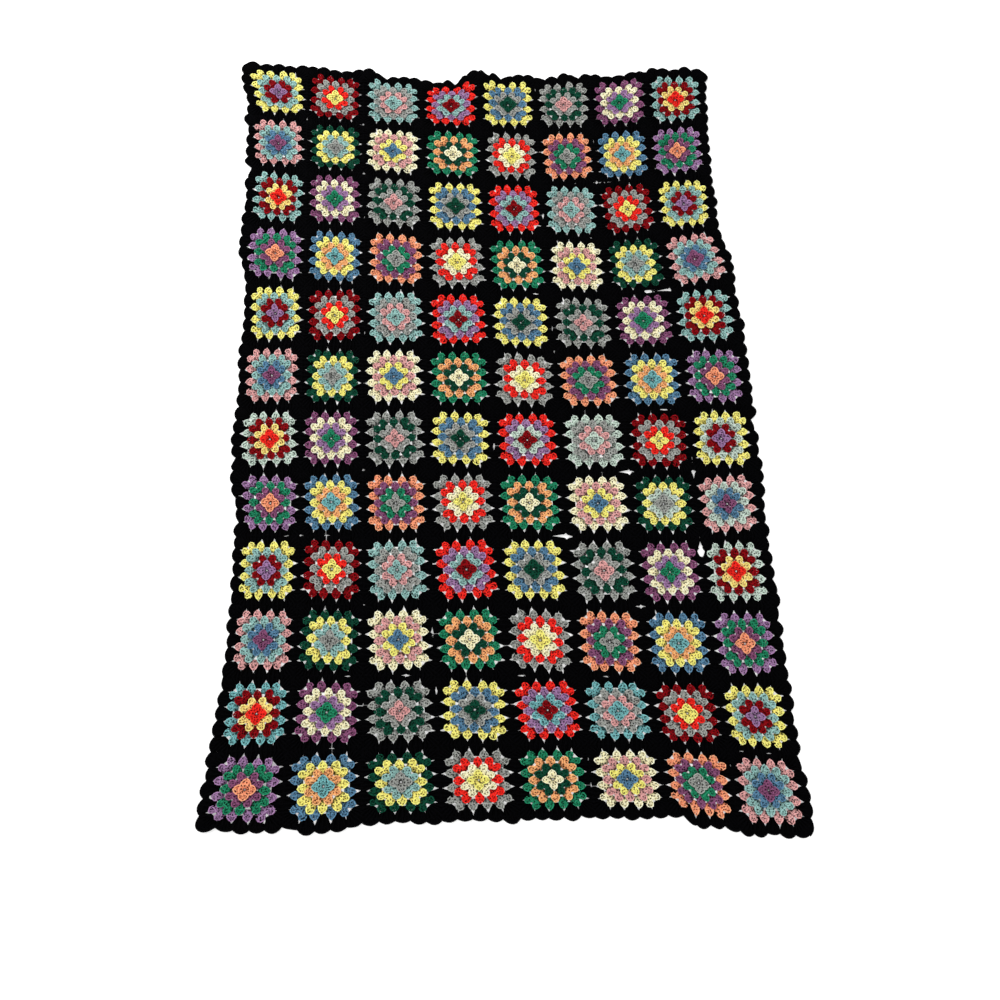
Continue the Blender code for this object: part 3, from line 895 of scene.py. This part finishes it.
def painted_floor():
    """A pale matt floor, sprayed even, with a faint glow: painted light that keeps it pale in the
    shadow under the cloth.
    """
    material = bpy.data.materials.new("pale_matt_floor")
    material.use_nodes = True
    shader = material.node_tree.nodes["Principled BSDF"]
    shader.inputs["Base Color"].default_value = linear("#f4f4f3") + [1]
    shader.inputs["Roughness"].default_value = 0.9
    shader.inputs["Emission Color"].default_value = (1, 1, 1, 1)
    shader.inputs["Emission Strength"].default_value = FLOOR_PAINTED_LIGHT
    return material


# ------------------------------------------------------------------ pieces
def mark_places(name, places):
    """An object with a point at each place, which carries the place's heading, size and home."""
    mesh = bpy.data.meshes.new(name)
    mesh.from_pydata([(p["x"], p["y"], CLOTH_MIDDLE) for p in places], [], [])
    mesh.attributes.new("heading", "FLOAT", "POINT").data.foreach_set(
        "value", [p["heading"] for p in places])
    mesh.attributes.new("size", "FLOAT_VECTOR", "POINT").data.foreach_set(
        "vector", [c for p in places for c in p["size"]])
    mesh.attributes.new("home", "FLOAT_VECTOR", "POINT").data.foreach_set(
        "vector", [c for p in places for c in p.get("home", (0, 0, 0))])
    marked = bpy.data.objects.new(name, mesh)
    bpy.context.scene.collection.objects.link(marked)
    return marked


def read_points(data, field, count):
    """A list of vectors as an array with a row for each."""
    values = np.empty(count * 3)
    data.foreach_get(field, values)
    return values.reshape(-1, 3)


def work(tree, name, places, stitch, yarn, seed, gaps=()):
    """Works a stitch at each place, turns it to a plain mesh, and lays it where the cloth lies."""
    maker = mark_places(name + "_places", places)
    modifier = maker.modifiers.new("stitches", "NODES")
    modifier.node_group = tree
    settings = {"Stitch": stitch[0], "Shade Sheet": stitch[1], "Wander Size": WANDER_SIZE, "Seed": seed,
                **yarn}
    for item in tree.interface.items_tree:
        if item.in_out == "INPUT" and item.name in settings:
            modifier[item.identifier] = settings[item.name]
    evaluated = maker.evaluated_get(bpy.context.evaluated_depsgraph_get())
    worked = bpy.data.meshes.new_from_object(evaluated)
    worked.name = name
    bpy.data.objects.remove(maker, do_unlink=True)
    count = len(worked.vertices)
    points = read_points(worked.vertices, "co", count)
    points[:, 2] = np.maximum(points[:, 2], FLOOR_GAP)
    draw_apart(points, read_points(worked.attributes["home"].data, "vector", count), gaps)
    worked.attributes.remove(worked.attributes["home"])
    worked.vertices.foreach_set("co", lie(points).ravel())
    piece = bpy.data.objects.new(name, worked)
    bpy.context.scene.collection.objects.link(piece)
    return piece


def join_pieces(name, pieces):
    """One piece from several."""
    bpy.ops.object.select_all(action="DESELECT")
    for piece in pieces:
        piece.select_set(True)
    bpy.context.view_layer.objects.active = pieces[0]
    bpy.ops.object.join()
    pieces[0].name = name
    pieces[0].data.name = name
    return pieces[0]


def learn_stitches():
    """The stitches of the squares, each as its strands and the dark sheet of painted shade behind
    them.
    """
    stitches = {}
    for name, strands, outline in (
            ("middle_group", middle_group_strands(), MIDDLE_GROUP_SHADE_SHEET),
            ("side_group", side_group_strands(), SIDE_GROUP_SHADE_SHEET),
            ("corner_pair", corner_pair_strands(), CORNER_PAIR_SHADE_SHEET),
            ("black_group", black_group_strands(), BLACK_GROUP_SHADE_SHEET),
            ("black_corner", black_corner_strands(), BLACK_CORNER_SHADE_SHEET)):
        stitches[name] = (stitch_lines(name, strands), stitch_shade_sheet(name + "_web", outline))
    return stitches


def make_coloured_rounds(tree, groups, stitches):
    """One piece for each yarn: all the groups that are worked in it."""
    pieces = []
    for seed, (name, code) in enumerate(YARNS.items(), start=1):
        label = name.replace(" ", "_")
        yarn = {"Yarn": acrylic_yarn(label + "_acrylic_yarn", code), "Yarn Radius": YARN,
                "Yarn Sides": STRAND_SIDES, "Wander": STITCH_WANDER}
        worked = []
        for stitch in ("middle_group", "side_group", "corner_pair"):
            places = [g for g in groups if g["yarn"] == name and g["stitch"] == stitch]
            if places:
                worked.append(work(tree, "rounds_in_" + label, places, stitches[stitch], yarn, seed))
        pieces.append(join_pieces("rounds_in_" + label, worked))
    return pieces


def make_black_net(tree, groups, stitches, gaps, material):
    """The last round of every square and the joins between the squares."""
    yarn = {"Yarn": material, "Yarn Radius": BLACK_YARN, "Yarn Sides": STRAND_SIDES,
            "Wander": BLACK_WANDER}
    worked = []
    for stitch in ("black_group", "black_corner"):
        places = [g for g in groups if g["stitch"] == stitch]
        worked.append(work(tree, "black_rounds", places, stitches[stitch], yarn, BLACK_SEED, gaps))
    whip = (stitch_lines("join", join_strands()), None)
    worked.append(work(tree, "joins", join_places(gaps), whip, {**yarn, "Yarn Radius": JOIN_YARN},
                       JOIN_SEED))
    return join_pieces("black_rounds_and_joins", worked)


def make_edging(tree, dice, material):
    """The scalloped edging, a shell at a time."""
    yarn = {"Yarn": material, "Yarn Radius": EDGING_YARN, "Yarn Sides": EDGING_SIDES,
            "Wander": EDGING_WANDER}
    shell = (stitch_lines("shell", shell_strands()), stitch_shade_sheet("shell_web", SHELL_SHADE_SHEET))
    return work(tree, "edging_shells", shell_places(dice), shell, yarn, EDGING_SEED)


def make_blanket():
    """Every piece of the blanket: the black net, the coloured rounds and the edging."""
    dice = np.random.default_rng(SEED)
    tree = stitches_tree()
    gaps = all_gaps(dice)
    groups = square_places(dice)
    stitches = learn_stitches()
    black = acrylic_yarn("black_acrylic_yarn", BLACK, BLACK_GLOSS)
    coloured = make_coloured_rounds(tree, groups, stitches)
    net = make_black_net(tree, groups, stitches, gaps, black)
    return net, coloured, make_edging(tree, dice, black)


# ------------------------------------------------------- floor, light, camera
def lay_floor():
    """A plain pale floor under the blanket."""
    bpy.ops.mesh.primitive_plane_add(size=2 * FLOOR_REACH)
    floor = bpy.context.object
    floor.name = "floor"
    floor.data.materials.append(painted_floor())


def light_softly():
    """Soft light from a big window at the far left, a weaker one to fill, and the sky."""
    world = bpy.data.worlds.new("soft_sky")
    world.use_nodes = True
    sky = world.node_tree.nodes["Background"]
    sky.inputs["Color"].default_value = (1, 1, 1, 1)
    sky.inputs["Strength"].default_value = SKY_STRENGTH
    bpy.context.scene.world = world
    for row in LIGHTS:
        data = bpy.data.lights.new(row["name"], "AREA")
        data.size = row["size"]
        data.energy = row["power"]
        light = bpy.data.objects.new(row["name"], data)
        light.location = row["place"]
        light.rotation_euler = (-Vector(row["place"])).to_track_quat("-Z", "Y").to_euler()
        bpy.context.scene.collection.objects.link(light)


def set_camera():
    """The camera, above the near end and looking a little ahead."""
    data = bpy.data.cameras.new("camera")
    data.lens = CAMERA_LENS
    data.sensor_width = CAMERA_SENSOR
    camera = bpy.data.objects.new("camera", data)
    camera.location = CAMERA_PLACE
    aim = Vector(CAMERA_AIM) - camera.location
    camera.rotation_euler = aim.to_track_quat("-Z", "Y").to_euler()
    bpy.context.scene.collection.objects.link(camera)
    bpy.context.scene.camera = camera
    bpy.context.scene.view_settings.view_transform = "Standard"


net, coloured, edging = make_blanket()
lay_floor()
light_softly()
set_camera()
for piece in [net, *coloured, edging]:
    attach(piece, "root")
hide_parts("joined_squares")
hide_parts("scalloped_edging")
